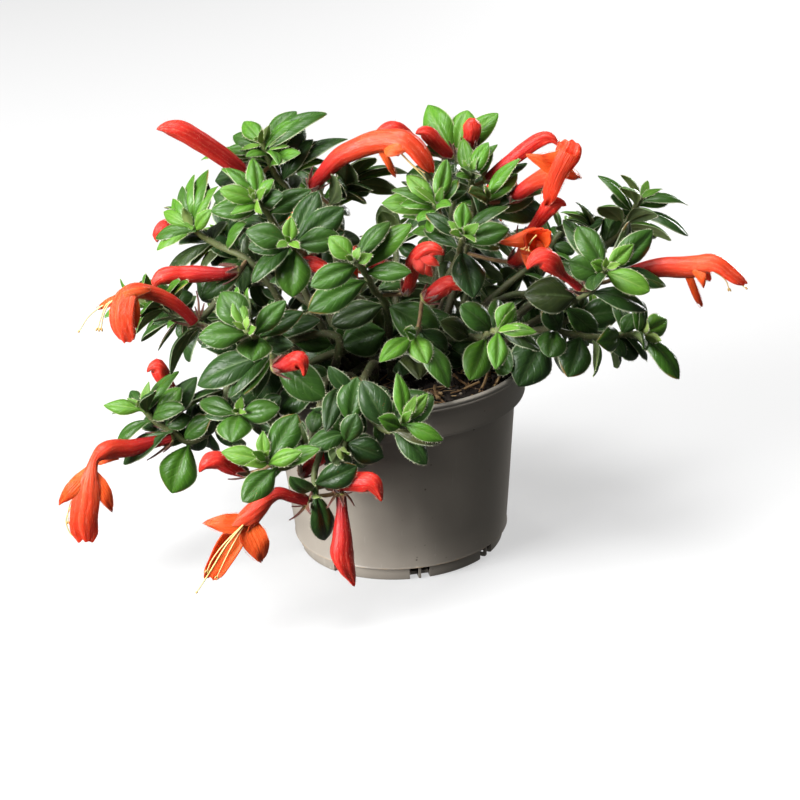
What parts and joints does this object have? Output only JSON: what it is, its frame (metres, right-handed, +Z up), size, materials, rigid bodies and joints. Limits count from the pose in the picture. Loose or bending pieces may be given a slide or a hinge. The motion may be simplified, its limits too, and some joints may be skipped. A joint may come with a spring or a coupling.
{
  "type": "potted goldfish plant",
  "caption": "Trailing goldfish plant with fleshy paired leaves, fish-shaped tubular flowers and closed buds, rooted in a round tapered nursery pot.",
  "frame": {"origin": "centre of the pot's underside, on the surface it stands on", "axes": "+Z up along the pot's axis; +Y away from the picture's viewpoint, +X to its right"},
  "size_m": [0.2999, 0.229, 0.2012],
  "materials": {
    "pot_plastic": "satin",
    "peat_mix": "matte",
    "leaf_and_stem": "satin",
    "corolla": "satin"
  },
  "bodies": {
    "root": {"bud_08": "corolla", "bud_09": "corolla", "bud_10": "corolla", "bud_11": "corolla", "bud_12": "corolla", "bud_13": "corolla", "bud_14": "corolla", "bud_15": "corolla", "bud_16": "corolla", "bud_17": "corolla", "bud_18": "corolla", "bud_19": "corolla", "bud_20": "corolla", "bud_21": "corolla", "bud_22": "corolla", "bud_23": "corolla", "bud_24": "corolla", "bud_25": "corolla", "bud_29": "corolla", "flower_01": "corolla", "flower_02": "corolla", "flower_03": "corolla", "flower_04": "corolla", "flower_05": "corolla", "flower_06": "corolla", "flower_07": "corolla", "flower_26": "corolla", "flower_27": "corolla", "flower_28": "corolla", "nursery_pot": "pot_plastic", "shoot_01": "leaf_and_stem", "shoot_02": "leaf_and_stem", "shoot_03": "leaf_and_stem", "shoot_04": "leaf_and_stem", "shoot_05": "leaf_and_stem", "shoot_06": "leaf_and_stem", "shoot_07": "leaf_and_stem", "shoot_08": "leaf_and_stem", "shoot_09": "leaf_and_stem", "shoot_10": "leaf_and_stem", "shoot_11": "leaf_and_stem", "shoot_12": "leaf_and_stem", "shoot_13": "leaf_and_stem", "shoot_14": "leaf_and_stem", "shoot_15": "leaf_and_stem", "shoot_16": "leaf_and_stem", "shoot_17": "leaf_and_stem", "shoot_18": "leaf_and_stem", "shoot_19": "leaf_and_stem", "shoot_20": "leaf_and_stem", "shoot_21": "leaf_and_stem", "shoot_22": "leaf_and_stem", "shoot_23": "leaf_and_stem", "shoot_24": "leaf_and_stem", "shoot_25": "leaf_and_stem", "shoot_26": "leaf_and_stem", "shoot_27": "leaf_and_stem", "shoot_28": "leaf_and_stem", "soil": "peat_mix"}
  },
  "joints": []
}
